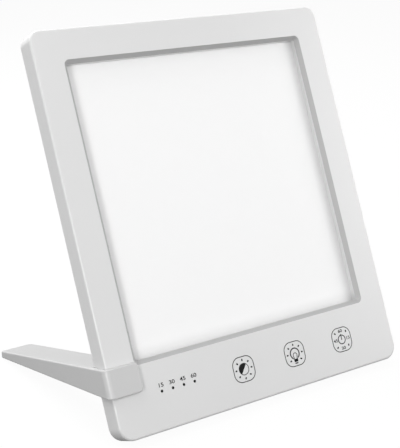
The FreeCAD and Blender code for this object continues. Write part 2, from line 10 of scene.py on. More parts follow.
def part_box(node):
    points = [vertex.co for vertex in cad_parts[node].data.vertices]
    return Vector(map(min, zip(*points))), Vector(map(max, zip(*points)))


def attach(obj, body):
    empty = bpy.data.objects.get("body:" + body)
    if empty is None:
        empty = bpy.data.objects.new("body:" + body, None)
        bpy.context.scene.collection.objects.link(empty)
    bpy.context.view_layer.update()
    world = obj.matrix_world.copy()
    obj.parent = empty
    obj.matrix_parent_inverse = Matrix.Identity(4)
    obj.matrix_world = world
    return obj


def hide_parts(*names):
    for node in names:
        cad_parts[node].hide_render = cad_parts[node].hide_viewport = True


mm = 0.001
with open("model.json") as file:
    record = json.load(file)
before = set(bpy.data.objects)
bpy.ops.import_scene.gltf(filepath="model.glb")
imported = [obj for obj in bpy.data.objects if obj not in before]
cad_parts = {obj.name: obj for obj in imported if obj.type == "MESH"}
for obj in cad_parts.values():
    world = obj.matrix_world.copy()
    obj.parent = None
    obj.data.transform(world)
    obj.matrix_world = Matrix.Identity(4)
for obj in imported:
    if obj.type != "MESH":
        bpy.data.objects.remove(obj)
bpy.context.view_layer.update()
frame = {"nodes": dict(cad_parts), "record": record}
nodes = frame["nodes"]
slotOf = {part["node"]: part["material_slot"] for part in frame["record"]["subparts"]}
print("frame loaded:", len(nodes), "nodes")

# Panel frame, in mm: x from the middle of the panel, y back from the face, z up the face
panel = {
    "width": 201.0,
    "height": 229.0,
    "depth": 13.5,
    "lean": 24.0,
    "topRadius": 6.5,
    "bottomRadius": 8.5,
    "edgeRadius": 1.2,
    "sideWall": 2.5,
    "faceWall": 2.0,
}
mouth = {  # the window's bevelled edge, and how far the painted shade reaches into the opal sheet, standing in for the recess walls' shadow
    "half": 82.8,
    "low": 38.9,
    "high": 211.1,
    "radius": 3.2,
    "bevelWidth": 2.2,
    "bevelDepth": 2.4,
    "edge": 0.3,
    "blend": 0.1,
    "paintedShadeReach": 8.0,
    "paintedShadeShare": 0.3,
    "paintedShadeShareTop": 0.08,
    "paintedShadeCurve": 1.8,
}


def findPanelFrame():
    low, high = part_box("front_bezel")
    lean = math.radians(panel["lean"])
    radius = panel["edgeRadius"] * mm
    depth = panel["depth"] * mm
    roundedFront = radius * (math.cos(lean) + math.sin(lean) - 1)
    rise = (depth - radius) * math.sin(lean) - radius * math.cos(lean) + radius
    place = Vector(((low.x + high.x) / 2, low.y - roundedFront, rise))
    return Matrix.Translation(place) @ Matrix.Rotation(-lean, 4, "X") @ Matrix.Scale(mm, 4)


toPanel = findPanelFrame()


# Node trees: a wrapped socket that takes plain arithmetic, and one method that adds a node
class Signal:
    def __init__(self, graph, socket):
        self.graph = graph
        self.socket = socket

    def math(self, operation, first, second):
        return self.graph.add("ShaderNodeMath", {"operation": operation}, {0: first, 1: second})

    def __add__(self, other):
        return self.math("ADD", self, other)

    def __sub__(self, other):
        return self.math("SUBTRACT", self, other)

    def __rsub__(self, other):
        return self.math("SUBTRACT", other, self)

    def __mul__(self, other):
        return self.math("MULTIPLY", self, other)

    def __truediv__(self, other):
        return self.math("DIVIDE", self, other)

    def clamped(self):
        return self.math("MINIMUM", self.math("MAXIMUM", self, 0.0), 1.0)

    __radd__ = __add__
    __rmul__ = __mul__


class Graph:
    def __init__(self, tree):
        self.tree = tree

    def add(self, kind, settings=None, sockets=None, output=0):
        made = self.tree.nodes.new(kind)
        for key, value in (settings or {}).items():
            setattr(made, key, value)
        for key, value in (sockets or {}).items():
            links = value if isinstance(value, list) else [value]
            if isinstance(links[0], Signal):
                for link in links:
                    self.tree.links.new(link.socket, made.inputs[key])
            else:
                made.inputs[key].default_value = value
        if not made.outputs:
            return made
        return Signal(self, made.outputs[output])


def grey(level):
    linear = ((level + 0.055) / 1.055) ** 2.4
    return (linear, linear, linear, 1)


def tint(red, green, blue):
    return tuple(grey(level)[0] for level in (red, green, blue)) + (1,)


class Finish(Graph):
    def __init__(self, name):
        self.material = bpy.data.materials.new(name)
        self.material.use_nodes = True
        super().__init__(self.material.node_tree)
        self.tree.nodes.clear()
        self.place = self.add("ShaderNodeTexCoord", output="Object")

    def noise(self, size, detail=2.0, roughness=0.5, stretch=None):
        vector = self.place
        if stretch:
            vector = self.add("ShaderNodeMapping", {}, {"Vector": vector, "Scale": stretch})
        sockets = {"Vector": vector, "Scale": 1 / size, "Detail": detail, "Roughness": roughness}
        return self.add("ShaderNodeTexNoise", {}, sockets, "Fac")

    def mix(self, share, first, second):
        sockets = {"Factor": share, 6: first, 7: second}
        return self.add("ShaderNodeMix", {"data_type": "RGBA"}, sockets, 2)

    def panelPoint(self):
        place, turn, scale = toPanel.decompose()
        sockets = {"Vector": self.place, "Location": place, "Rotation": turn.to_euler(), "Scale": scale}
        inPanel = self.add("ShaderNodeMapping", {"vector_type": "TEXTURE"}, sockets)
        split = self.add("ShaderNodeSeparateXYZ", {}, {"Vector": inPanel})
        return [Signal(self, socket) for socket in split.socket.node.outputs]

    def bump(self, height, depth):
        return self.add("ShaderNodeBump", {}, {"Height": height, "Distance": depth, "Strength": 1.0})

    def close(self, sockets):
        surface = self.add("ShaderNodeBsdfPrincipled", {}, sockets)
        self.add("ShaderNodeOutputMaterial", {}, {"Surface": surface})
        return self.material


plastic = {"cloudSize": 45 * mm, "paler": 1.02, "cloudSheen": 0.1, "grainSheen": 0.06}


def mouldedPlastic(name, colour, roughness, grainSize=0.35 * mm, grainDepth=0.006 * mm, gloss=0.5):
    finish = Finish(name)
    cloud = finish.noise(plastic["cloudSize"], 3.0)
    grain = finish.noise(grainSize, 2.0)
    paler = tuple(min(1, channel * plastic["paler"]) for channel in colour[:3]) + (1,)
    base = finish.mix(cloud, colour, paler)
    sheen = (cloud - 0.5) * plastic["cloudSheen"] + (grain - 0.5) * plastic["grainSheen"]
    return finish.close(
        {
            "Base Color": base,
            "Roughness": roughness + sheen,
            "Specular IOR Level": gloss,
            "Normal": finish.bump(grain, grainDepth),
        }
    )


# Falloff of the painted shade with distance from a window edge
def nearEdge(gap):
    near = (1 - gap / mouth["paintedShadeReach"]).clamped()
    return near.math("POWER", near, mouth["paintedShadeCurve"])


opal = {
    "milkSize": 12 * mm,
    "milkGreys": (0.98, 0.99),
    "grainSize": 0.25 * mm,
    "grainDepth": 0.003 * mm,
    "roughness": 0.55,
    "grainSheen": 0.08,
}


def opalAcrylic(name):
    finish = Finish(name)
    x, y, z = finish.panelPoint()
    inset = mouth["bevelWidth"]
    fromSide = mouth["half"] - inset - x.math("ABSOLUTE", x, 0.0)
    fromLow, fromHigh = z - (mouth["low"] + inset), mouth["high"] - inset - z
    # Painted shade: the sheet's colour darkens towards the sides and bottom of the window, and a little
    # towards the top, where the recess walls shade it
    paintedShadeFactor = 1 - nearEdge(fromSide) * mouth["paintedShadeShare"]
    paintedShadeFactor = paintedShadeFactor * (1 - nearEdge(fromLow) * mouth["paintedShadeShare"])
    paintedShadeFactor = paintedShadeFactor * (1 - nearEdge(fromHigh) * mouth["paintedShadeShareTop"])
    milk = finish.noise(opal["milkSize"], 4.0)
    grain = finish.noise(opal["grainSize"], 1.0)
    cloudy, clear = [grey(level) for level in opal["milkGreys"]]
    return finish.close(
        {
            "Base Color": finish.mix(paintedShadeFactor, grey(0.0), finish.mix(milk, cloudy, clear)),
            "Roughness": opal["roughness"] + (grain - 0.5) * opal["grainSheen"],
            "Normal": finish.bump(grain, opal["grainDepth"]),
        }
    )


brush = {"size": 14 * mm, "sheen": 0.16, "depth": 0.004 * mm}


def sheetMetal(name, colour, roughness, stretch=(1, 1, 60)):
    finish = Finish(name)
    brushed = finish.noise(brush["size"], 5.0, 0.6, stretch)
    return finish.close(
        {
            "Base Color": colour,
            "Metallic": 1.0,
            "Roughness": roughness + (brushed - 0.5) * brush["sheen"],
            "Normal": finish.bump(brushed, brush["depth"]),
        }
    )


rubber = {"grainSize": 0.4 * mm, "grainDepth": 0.02 * mm, "bloomSize": 6 * mm, "roughness": 0.82}


def matteRubber(name):
    finish = Finish(name)
    grain = finish.noise(rubber["grainSize"], 3.0)
    return finish.close(
        {
            "Base Color": finish.mix(finish.noise(rubber["bloomSize"]), grey(0.13), grey(0.17)),
            "Roughness": rubber["roughness"] + (grain - 0.5) * 0.1,
            "Normal": finish.bump(grain, rubber["grainDepth"]),
        }
    )


def clearAcrylic(name):
    finish = Finish(name)
    haze = finish.noise(8 * mm)
    return finish.close(
        {
            "Base Color": tint(0.93, 0.97, 0.97),
            "Roughness": 0.06 + haze * 0.05,
            "Transmission Weight": 1.0,
            "IOR": 1.49,
        }
    )


board = {"trackPitch": 9 * mm, "trackWidth": 0.03, "trackDepth": 0.03 * mm}


def circuitBoard(name):
    finish = Finish(name)
    tracks = finish.add(
        "ShaderNodeTexBrick",
        {"offset": 0.5},
        {"Vector": finish.place, "Scale": 1 / board["trackPitch"], "Mortar Size": board["trackWidth"]},
        "Fac",
    )
    return finish.close(
        {
            "Base Color": finish.mix(tracks, tint(0.10, 0.38, 0.22), tint(0.16, 0.48, 0.30)),
            "Roughness": 0.35 + tracks * 0.1,
            "Normal": finish.bump(tracks, board["trackDepth"]),
        }
    )


inkFilm = {"speckleSize": 0.5 * mm, "speckleDepth": 0.002 * mm, "roughness": 0.5, "gloss": 0.12}


def printInk(name):
    finish = Finish(name)
    speckle = finish.noise(inkFilm["speckleSize"], 3.0)
    return finish.close(
        {
            "Base Color": finish.mix(speckle, grey(0.03), grey(0.06)),
            "Roughness": inkFilm["roughness"] + (speckle - 0.5) * 0.15,
            "Specular IOR Level": inkFilm["gloss"],
            "Normal": finish.bump(speckle, inkFilm["speckleDepth"]),
        }
    )


finishes = {
    "housing": mouldedPlastic("housingPlastic", grey(0.875), 0.3),
    "foot": mouldedPlastic("footPlastic", grey(0.797), 0.33),
    "opal_diffuser": opalAcrylic("opalAcrylic"),
    "clear_acrylic": clearAcrylic("guideAcrylic"),
    "white_film": mouldedPlastic("reflectorFilm", grey(0.96), 0.25, 2 * mm, 0.002 * mm),
    "tray_metal": sheetMetal("trayAluminium", grey(0.86), 0.34),
    "bar_board": mouldedPlastic("barMask", grey(0.94), 0.3, 1.5 * mm),
    "led_chip": mouldedPlastic("phosphor", tint(0.95, 0.85, 0.45), 0.2, 0.8 * mm),
    "foam": mouldedPlastic("closedFoam", grey(0.25), 0.95, 0.6 * mm, 0.15 * mm),
    "circuit_board": circuitBoard("boardMask"),
    "spring_steel": sheetMetal("springSteel", grey(0.82), 0.3, (1, 1, 1)),
    "smoked_lens": mouldedPlastic("smokedLens", grey(0.05), 0.2, 0.5 * mm, 0.001 * mm, 0.16),
    "black_plastic": mouldedPlastic("blackPlastic", grey(0.09), 0.45),
    "capacitor_can": sheetMetal("capacitorCan", grey(0.88), 0.28, (1, 1, 1)),
    "contact_metal": sheetMetal("contactPlating", tint(0.86, 0.83, 0.74), 0.22, (30, 1, 1)),
    "socket_plastic": mouldedPlastic("socketNylon", tint(0.93, 0.91, 0.86), 0.4),
    "lead_insulation": mouldedPlastic("leadSleeve", grey(0.94), 0.35),
    "screw_steel": sheetMetal("screwZinc", grey(0.72), 0.32, (1, 1, 1)),
    "rubber": matteRubber("gripRubber"),
}
ink = printInk("keyInk")
# A darker copy of the housing plastic for the window bevel: painted shade where the recess lies in shadow
bevelPlastic = mouldedPlastic("bevelPlastic", grey(0.69), 0.5)
for name, node in nodes.items():
    node.data.materials.clear()
    node.data.materials.append(finishes[slotOf[name]])
print("finishes made:", len(finishes) + 1)


# Mesh helpers
def finishPiece(piece, body):
    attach(piece, body)
    return piece


def makeObject(name, work, material, place=None):
    if place:
        bmesh.ops.transform(work, matrix=place, verts=work.verts)
    mesh = bpy.data.meshes.new(name)
    work.to_mesh(mesh)
    work.free()
    mesh.materials.append(material)
    piece = bpy.data.objects.new(name, mesh)
    bpy.context.scene.collection.objects.link(piece)
    return piece


def smoothByAngle(piece, degrees=28):
    mesh = piece.data
    mesh.shade_smooth()
    mesh.set_sharp_from_angle(angle=math.radians(degrees))


def applyModifiers(piece):
    graph = bpy.context.evaluated_depsgraph_get()
    mesh = bpy.data.meshes.new_from_object(piece.evaluated_get(graph))
    old = piece.data
    piece.modifiers.clear()
    piece.data = mesh
    bpy.data.meshes.remove(old)


def cutWith(piece, cutter):
    change = piece.modifiers.new("cut", "BOOLEAN")
    change.operation = "DIFFERENCE"
    change.solver = "EXACT"
    change.object = cutter
    applyModifiers(piece)
    bpy.data.objects.remove(cutter)


def weightNormals(piece):
    change = piece.modifiers.new("weights", "WEIGHTED_NORMAL")
    change.keep_sharp = True
    applyModifiers(piece)


def mergedCopy(name, piece, slot, body):
    work = bmesh.new()
    work.from_mesh(nodes[name].data)
    bmesh.ops.remove_doubles(work, verts=work.verts, dist=1e-6)
    made = makeObject(piece, work, finishes[slot])
    smoothByAngle(made)
    weightNormals(made)
    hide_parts(name)
    return finishPiece(made, body)


# Front bezel: closed loft of rounded rectangles, from the window wall over the face to the inside
bezel = {
    "windowSide": 18.6,
    "windowTop": 17.9,
    "windowBottom": 39.2,
    "windowRadius": 3.0,
    "windowDepth": 5.5,
    "rimWall": 1.6,
    "backEdge": 0.25,
    "backSteps": 3,
    "support": 0.35,
    "cornerSteps": 14,
    "edgeSteps": 7,
}


def roundedRing(xRange, zRange, lowRadius, highRadius, depth, steps):
    left, right = xRange
    low, high = zRange
    corners = (
        (right - lowRadius, low + lowRadius, lowRadius, -90),
        (right - highRadius, high - highRadius, highRadius, 0),
        (left + highRadius, high - highRadius, highRadius, 90),
        (left + lowRadius, low + lowRadius, lowRadius, 180),
    )
    ring = []
    for x, z, radius, start in corners:
        for step in range(steps + 1):
            angle = math.radians(start + 90 * step / steps)
            ring.append(Vector((x + radius * math.cos(angle), depth, z + radius * math.sin(angle))))
    return ring


def outlineRing(inset, depth):
    half = panel["width"] / 2 - inset
    heights = (inset, panel["height"] - inset)
    low = panel["bottomRadius"] - inset
    high = panel["topRadius"] - inset
    return roundedRing((-half, half), heights, low, high, depth, bezel["cornerSteps"])


def windowRing(grow, depth):
    half = panel["width"] / 2 - bezel["windowSide"] + grow
    heights = (bezel["windowBottom"] - grow, panel["height"] - bezel["windowTop"] + grow)
    radius = bezel["windowRadius"] + grow
    return roundedRing((-half, half), heights, radius, radius, depth, bezel["cornerSteps"])


def bevelRing(inset, depth):
    half = mouth["half"] - inset
    heights = (mouth["low"] + inset, mouth["high"] - inset)
    radius = mouth["radius"] - inset
    return roundedRing((-half, half), heights, radius, radius, depth, bezel["cornerSteps"])


def quarterTurn(steps):
    return [math.radians(90 * step / steps) for step in range(steps + 1)]


def loftClosed(work, rings, bands):
    rows = [[work.verts.new(point) for point in ring] for ring in rings]
    for band, row, following in zip(bands, rows, rows[1:] + rows[:1]):
        for index in range(len(row)):
            after = (index + 1) % len(row)
            face = work.faces.new((row[index], row[after], following[after], following[index]))
            face.material_index = band
    bmesh.ops.recalc_face_normals(work, faces=work.faces)


def mouthRings():
    edge, blend = mouth["edge"], mouth["blend"]
    width, deep = mouth["bevelWidth"], mouth["bevelDepth"]
    return [
        bevelRing(width, bezel["windowDepth"]),
        bevelRing(width, deep + blend),
        bevelRing(width - blend, deep - blend),
        bevelRing(edge, edge * deep / width),
        bevelRing(edge / 4, edge / 5),
        bevelRing(-edge / 4, 0),
    ]


def rimRings():
    edge, back, support = panel["edgeRadius"], panel["depth"], bezel["support"]
    wall, soft = panel["sideWall"], bezel["backEdge"]
    rings = [bevelRing(-mouth["edge"] - support, 0), outlineRing(edge + support, 0)]
    for angle in quarterTurn(bezel["edgeSteps"]):
        rings.append(outlineRing(edge * (1 - math.sin(angle)), edge * (1 - math.cos(angle))))
    rings.append(outlineRing(0, edge + support))
    rings.append(outlineRing(0, back - edge - support))
    for angle in quarterTurn(bezel["edgeSteps"]):
        rings.append(outlineRing(edge * (1 - math.cos(angle)), back - edge + edge * math.sin(angle)))
    for angle in quarterTurn(bezel["backSteps"]):
        rings.append(
            outlineRing(wall - soft * (1 - math.sin(angle)), back - soft * (1 - math.cos(angle)))
        )
    rings.append(outlineRing(wall, panel["faceWall"]))
    rings.append(windowRing(bezel["rimWall"], panel["faceWall"]))
    rings.append(windowRing(bezel["rimWall"], bezel["windowDepth"]))
    return rings


def makeBezel():
    opening, rim = mouthRings(), rimRings()
    # The bevel band takes the darker plastic, painted shade of the window recess
    materials = [finishes["housing"], bevelPlastic, finishes["opal_diffuser"]]
    housingBand, shadedBevelBand, opalBand = range(len(materials))
    bands = [opalBand] + [shadedBevelBand] * (len(opening) - 2) + [housingBand] * (len(rim) + 1)
    work = bmesh.new()
    loftClosed(work, opening + rim, bands)
    shell = makeObject("bezelShell", work, materials[housingBand], toPanel)
    shell.data.materials.append(materials[shadedBevelBand])
    shell.data.materials.append(materials[opalBand])
    return shell


def boxCentre(name):
    low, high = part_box(name)
    return (low + high) / 2


lens = {
    "minutes": (15, 30, 45, 60),
    "hole": 0.86,
    "radius": 0.8,
    "collarRadius": 1.5,
    "collarBack": 2.8,
    "dome": 0.12,
    "domeSteps": (0, 0.4, 0.7, 0.9, 1),
    "length": 5.4,
    "height": 21.5,
    "cut": (-3, 4),
    "steps": 32,
}
inlet = {"holeRadius": 4.05, "height": 20.0, "cut": (-6, 3), "steps": 64}


def rodCutter(radius, start, end, steps):
    work = bmesh.new()
    way = end - start
    turn = way.to_track_quat("Z", "Y").to_matrix().to_4x4()
    place = Matrix.Translation((start + end) / 2) @ turn
    bmesh.ops.create_cone(
        work, cap_ends=True, segments=steps, radius1=radius, radius2=radius, depth=way.length,
        matrix=place,
    )
    return makeObject("cutter", work, finishes["housing"], toPanel)


def lensPlaces():
    back = toPanel.inverted()
    return [(back @ boxCentre("timer_lens_" + str(minutes))).x for minutes in lens["minutes"]]


housing = makeBezel()
for x in lensPlaces():
    front, behind = [Vector((x, depth, lens["height"])) for depth in lens["cut"]]
    cutWith(housing, rodCutter(lens["hole"], front, behind, lens["steps"]))
jackPlace = Vector((panel["width"] / 2, panel["depth"] / 2, inlet["height"]))
jackStart, jackEnd = [jackPlace + Vector((reach, 0, 0)) for reach in inlet["cut"]]
cutWith(housing, rodCutter(inlet["holeRadius"], jackStart, jackEnd, inlet["steps"]))
smoothByAngle(housing, 32)
weightNormals(housing)
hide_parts("front_bezel")
finishPiece(housing, "panel")
print("bezel made:", len(housing.data.polygons), "faces")

mergedCopy("rear_cover", "rearCover", "housing", "panel")
mergedCopy("foot_shell", "clipFoot", "foot", "foot")
mergedCopy("foot_cover", "soleCover", "foot", "foot")
mergedCopy("dc_jack_body", "inletBody", "black_plastic", "panel")
mergedCopy("dc_jack_pin", "inletPin", "contact_metal", "panel")
print("cover, foot and inlet made")


# Timer lenses: revolved light pipes with a low dome
def revolve(profile, steps):
    work = bmesh.new()
    rows = []
    for step in range(steps):
        angle = 2 * math.pi * step / steps
        rows.append(
            [
                work.verts.new((radius * math.cos(angle), depth, radius * math.sin(angle)))
                for radius, depth in profile
                if radius > 0
            ]
        )
    first = work.verts.new((0, profile[0][1], 0))
    last = work.verts.new((0, profile[-1][1], 0))
    for row, following in zip(rows, rows[1:] + rows[:1]):
        work.faces.new((first, row[0], following[0]))
        work.faces.new((last, following[-1], row[-1]))
        for index in range(len(row) - 1):
            work.faces.new((row[index], row[index + 1], following[index + 1], following[index]))
    bmesh.ops.recalc_face_normals(work, faces=work.faces)
    return work


def lensProfile():
    radius, dome = lens["radius"], lens["dome"]
    profile = [(radius * share, dome * share * share) for share in lens["domeSteps"]]
    collar = lens["collarBack"]
    profile += [(radius, panel["faceWall"]), (lens["collarRadius"], panel["faceWall"])]
    profile += [(lens["collarRadius"], collar), (radius, collar), (radius, lens["length"])]
    return profile + [(0, lens["length"])]


for minutes, x in zip(lens["minutes"], lensPlaces()):
    place = toPanel @ Matrix.Translation((x, 0, lens["height"]))
    turned = revolve(lensProfile(), lens["steps"])
    pipe = makeObject("lens" + str(minutes), turned, finishes["smoked_lens"], place)
    smoothByAngle(pipe, 40)
    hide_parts("timer_lens_" + str(minutes))
    finishPiece(pipe, "panel")
print("timer lenses made")


# Geometry Nodes: slabs of ink cut from flat curves, and whatever repeats
def newTree(name, inputs):
    tree = bpy.data.node_groups.new(name, "GeometryNodeTree")
    tree.interface.new_socket("Geometry", in_out="INPUT", socket_type="NodeSocketGeometry")
    for label, kind in inputs:
        tree.interface.new_socket(label, in_out="INPUT", socket_type="NodeSocket" + kind)
    tree.interface.new_socket("Geometry", in_out="OUTPUT", socket_type="NodeSocketGeometry")
    graph = Graph(tree)
    given = tree.nodes.new("NodeGroupInput")
    return graph, {socket.name: Signal(graph, socket) for socket in given.outputs if socket.name}


def slab(graph, curve, thickness):
    flat = graph.add("GeometryNodeFillCurve", {"mode": "NGONS"}, {"Curve": curve})
    raised = graph.add(
        "GeometryNodeExtrudeMesh",
        {},
        {"Mesh": flat, "Offset Scale": thickness, "Individual": False},
    )
    under = graph.add("GeometryNodeFlipFaces", {}, {"Mesh": flat})
    joined = graph.add("GeometryNodeJoinGeometry", {}, {"Geometry": [raised, under]})
    return graph.add("GeometryNodeMergeByDistance", {}, {"Geometry": joined, "Distance": 0.001})


def closeTree(graph, shape, material):
    real = graph.add("GeometryNodeRealizeInstances", {}, {"Geometry": shape})
    inked = graph.add("GeometryNodeSetMaterial", {}, {"Geometry": real, "Material": material})
    end = graph.tree.nodes.new("NodeGroupOutput")
    graph.tree.links.new(inked.socket, end.inputs[0])


def grow(name, graph, values, place, points=()):
    piece = bpy.data.objects.new(name, bpy.data.meshes.new(name))
    piece.data.from_pydata(points, [], [])
    bpy.context.scene.collection.objects.link(piece)
    change = piece.modifiers.new("grow", "NODES")
    change.node_group = graph.tree
    for item in graph.tree.interface.items_tree:
        if item.in_out == "INPUT" and item.name in values:
            change[item.identifier] = values[item.name]
    applyModifiers(piece)
    piece.data.transform(place)
    return piece


def rayTree():
    inputs = [("Count", "Int"), ("Radius", "Float"), ("Start", "Float"), ("Sweep", "Float")]
    inputs += [("Length", "Float"), ("Width", "Float"), ("Thickness", "Float")]
    graph, given = newTree("rays", inputs)
    arc = graph.add(
        "GeometryNodeCurveArc",
        {"mode": "RADIUS"},
        {
            "Resolution": given["Count"],
            "Radius": given["Radius"],
            "Start Angle": given["Start"],
            "Sweep Angle": given["Sweep"],
        },
    )
    bar = graph.add(
        "GeometryNodeCurvePrimitiveQuadrilateral",
        {"mode": "RECTANGLE"},
        {"Width": given["Width"], "Height": given["Length"]},
    )
    soft = graph.add(
        "GeometryNodeFilletCurve",
        {"mode": "POLY"},
        {"Curve": bar, "Radius": given["Width"] * 0.35, "Count": 3},
    )
    tangent = graph.add("GeometryNodeInputTangent")
    turn = graph.add("FunctionNodeAlignRotationToVector", {"axis": "X"}, {"Vector": tangent})
    rays = graph.add(
        "GeometryNodeInstanceOnPoints",
        {},
        {"Points": arc, "Instance": slab(graph, soft, given["Thickness"]), "Rotation": turn},
    )
    closeTree(graph, rays, ink)
    return graph


def outlineTree():
    inputs = [("Width", "Float"), ("Height", "Float"), ("Radius", "Float")]
    inputs += [("Stroke", "Float"), ("Thickness", "Float")]
    graph, given = newTree("outline", inputs)
    frameCurve = graph.add(
        "GeometryNodeCurvePrimitiveQuadrilateral",
        {"mode": "RECTANGLE"},
        {"Width": given["Width"], "Height": given["Height"]},
    )
    soft = graph.add(
        "GeometryNodeFilletCurve",
        {"mode": "POLY"},
        {"Curve": frameCurve, "Radius": given["Radius"], "Count": 12},
    )
    section = graph.add(
        "GeometryNodeCurvePrimitiveQuadrilateral",
        {"mode": "RECTANGLE"},
        {"Width": given["Stroke"], "Height": given["Thickness"]},
    )
    line = graph.add("GeometryNodeCurveToMesh", {}, {"Curve": soft, "Profile Curve": section})
    closeTree(graph, line, ink)
    return graph


# Screws: crowned heads with a cross recess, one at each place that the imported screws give
screw = {
    "Head Radius": 2.4,
    "Head Height": 1.2,
    "Crown": 0.35,
    "Shank Radius": 1.1,
    "Cross Length": 2.5,
    "Cross Width": 0.5,
    "Cross Depth": 0.75,
    "Steps": 36,
}


def vector(graph, x=0.0, y=0.0, z=0.0):
    return graph.add("ShaderNodeCombineXYZ", {}, {"X": x, "Y": y, "Z": z})


def moved(graph, shape, height):
    sockets = {"Geometry": shape, "Translation": vector(graph, z=height)}
    return graph.add("GeometryNodeTransform", {}, sockets)


def screwTree():
    inputs = [(label, "Int" if label == "Steps" else "Float") for label in screw]
    graph, given = newTree("screws", inputs + [("Length", "Float"), ("Axis", "Vector")])
    radius, height, shank = given["Head Radius"], given["Head Height"], given["Shank Radius"]
    head = graph.add(
        "GeometryNodeMeshCylinder",
        {"fill_type": "TRIANGLE_FAN"},
        {"Vertices": given["Steps"], "Fill Segments": 7, "Radius": radius, "Depth": height},
    )
    place = graph.add("GeometryNodeInputPosition")
    split = graph.add("ShaderNodeSeparateXYZ", {}, {"Vector": place})
    x, y, z = [Signal(graph, socket) for socket in split.socket.node.outputs]
    outward = (x * x + y * y) / (radius * radius)
    drop = outward * outward * outward * given["Crown"] * z.math("GREATER_THAN", z, 0.0)
    head = graph.add(
        "GeometryNodeSetPosition", {}, {"Geometry": head, "Offset": vector(graph, z=drop * -1)}
    )
    rod = graph.add(
        "GeometryNodeMeshCylinder",
        {"fill_type": "NGON"},
        {"Vertices": given["Steps"], "Radius": shank, "Depth": given["Length"] + height * 0.5},
    )
    tip = graph.add(
        "GeometryNodeMeshCone",
        {"fill_type": "NGON"},
        {"Vertices": given["Steps"], "Radius Top": shank, "Radius Bottom": 0.0, "Depth": shank},
    )
    solids = [
        moved(graph, head, height * 0.5),
        moved(graph, rod, height * 0.25 - given["Length"] * 0.5),
        moved(graph, tip, (given["Length"] + shank) * -1),
    ]
    body = graph.add("GeometryNodeMeshBoolean", {"operation": "UNION"}, {"Mesh 2": solids})
    cross = []
    for first, second in (("Cross Length", "Cross Width"), ("Cross Width", "Cross Length")):
        size = vector(graph, given[first], given[second], given["Cross Depth"] * 2)
        cross.append(moved(graph, graph.add("GeometryNodeMeshCube", {}, {"Size": size}), height))
    sockets = {"Mesh 1": body, "Mesh 2": cross}
    cut = graph.add("GeometryNodeMeshBoolean", {"operation": "DIFFERENCE"}, sockets)
    turn = graph.add("FunctionNodeAlignRotationToVector", {"axis": "Z"}, {"Vector": given["Axis"]})
    sockets = {"Points": given["Geometry"], "Instance": cut, "Rotation": turn, "Scale": (mm, mm, mm)}
    closeTree(graph, graph.add("GeometryNodeInstanceOnPoints", {}, sockets), finishes["screw_steel"])
    return graph


def solidsOf(name):
    work = bmesh.new()
    work.from_mesh(nodes[name].data)
    bmesh.ops.remove_doubles(work, verts=work.verts, dist=1e-6)
    left = set(work.verts)
    solids = []
    for start in work.verts:
        if start not in left:
            continue
        front, solid = [start], []
        left.remove(start)
        while front:
            corner = front.pop()
            solid.append(corner.co.copy())
            for edge in corner.link_edges:
                other = edge.other_vert(corner)
                if other in left:
                    left.remove(other)
                    front.append(other)
        solids.append(solid)
    work.free()
    return solids


def seatScrews(name, piece, body, tree):
    seats = []
    for corners in solidsOf(name):
        middle = sum(corners, Vector()) / len(corners)
        point = max(corners, key=lambda corner: (corner - middle).length)
        axis = (middle - point).normalized()
        whole = max((corner - point).dot(axis) for corner in corners)
        seats.append(point + axis * (whole - screw["Head Height"] * mm))
    length = whole / mm - screw["Head Height"] - screw["Shank Radius"]
    values = dict(screw, Length=length, Axis=tuple(axis))
    made = grow(piece, tree, values, Matrix(), seats)
    smoothByAngle(made, 35)
    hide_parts(name)
    finishPiece(made, body)


screws = screwTree()
seatScrews("cover_screws", "coverScrews", "panel", screws)
seatScrews("foot_screws", "soleScrews", "foot", screws)
print("screws seated")


# Printed marks: thin ink on the face. x and y of a mark's own plane are right and up the face.
marks = {
    "keyHeight": 20.0,
    "keys": {"brightness": -14.3, "light": 23.3, "timer": 60.3},
    "outline": 14.5,
    "outlineRadius": 5.0,
    "stroke": 0.48,
    "proud": 0.03,
    "digitHeight": 2.25,
    "digitCentre": 25.0,
    "digitSpread": 1.25,
    "digitBold": 0.04,
    "digitShare": 0.73,  # of the type size
    "smallDigit": 1.95,
}
ray = {"radius": 5.4, "length": 1.3, "width": 0.88}
disc = {"rays": 8, "radius": 3.35, "line": 0.4, "darkFrom": 52}
bulb = {
    "rays": 7,
    "glassRise": 0.1,
    "glassRadius": 3.22,
    "glassLine": 0.75,
    "loopRise": -0.9,
    "loopRadius": 1.4,
    "loopFoot": (0.85, -3.2),
    "loopLine": 0.45,
    "capTop": (1.5, -3.1),
    "capLow": (1.3, -4.9),
    "tipTop": (1.2, -5.3),
    "tipLow": (1.0, -6.0),
}
clock = {
    "ticks": 4,
    "tickRadius": 6.1,
    "tickLength": 1.4,
    "radius": 2.68,
    "line": 0.6,
    "hand": (-0.3, 3.4),
    "numbers": {"60": (0, 5.35), "15": (4.85, 0.2), "30": (0, -5.2), "45": (-4.75, 0.1)},
}


def onFace(x, z, lift=0.0):
    place = Matrix.Translation((x, lift - marks["proud"], z))
    return toPanel @ place @ Matrix.Rotation(math.radians(90), 4, "X")


def inkPiece(piece):
    return finishPiece(piece, "panel")


def stroke(work, points, width, thickness, closed=False):
    count = len(points)
    rows = []
    for index, point in enumerate(points):
        before = points[index - 1] if closed or index else point
        after = points[(index + 1) % count] if closed or index < count - 1 else point
        way = (after - before).normalized()
        side = Vector((-way.y, way.x, 0)) * width / 2
        top = Vector((0, 0, thickness))
        corners = (point + side, point - side, point - side - top, point + side - top)
        rows.append([work.verts.new(corner) for corner in corners])
    pairs = list(zip(rows, rows[1:]))
    if closed:
        pairs.append((rows[-1], rows[0]))
    for row, following in pairs:
        for index in range(4):
            after = (index + 1) % 4
            work.faces.new((row[index], row[after], following[after], following[index]))
    if not closed:
        work.faces.new(rows[0])
        work.faces.new(rows[-1])


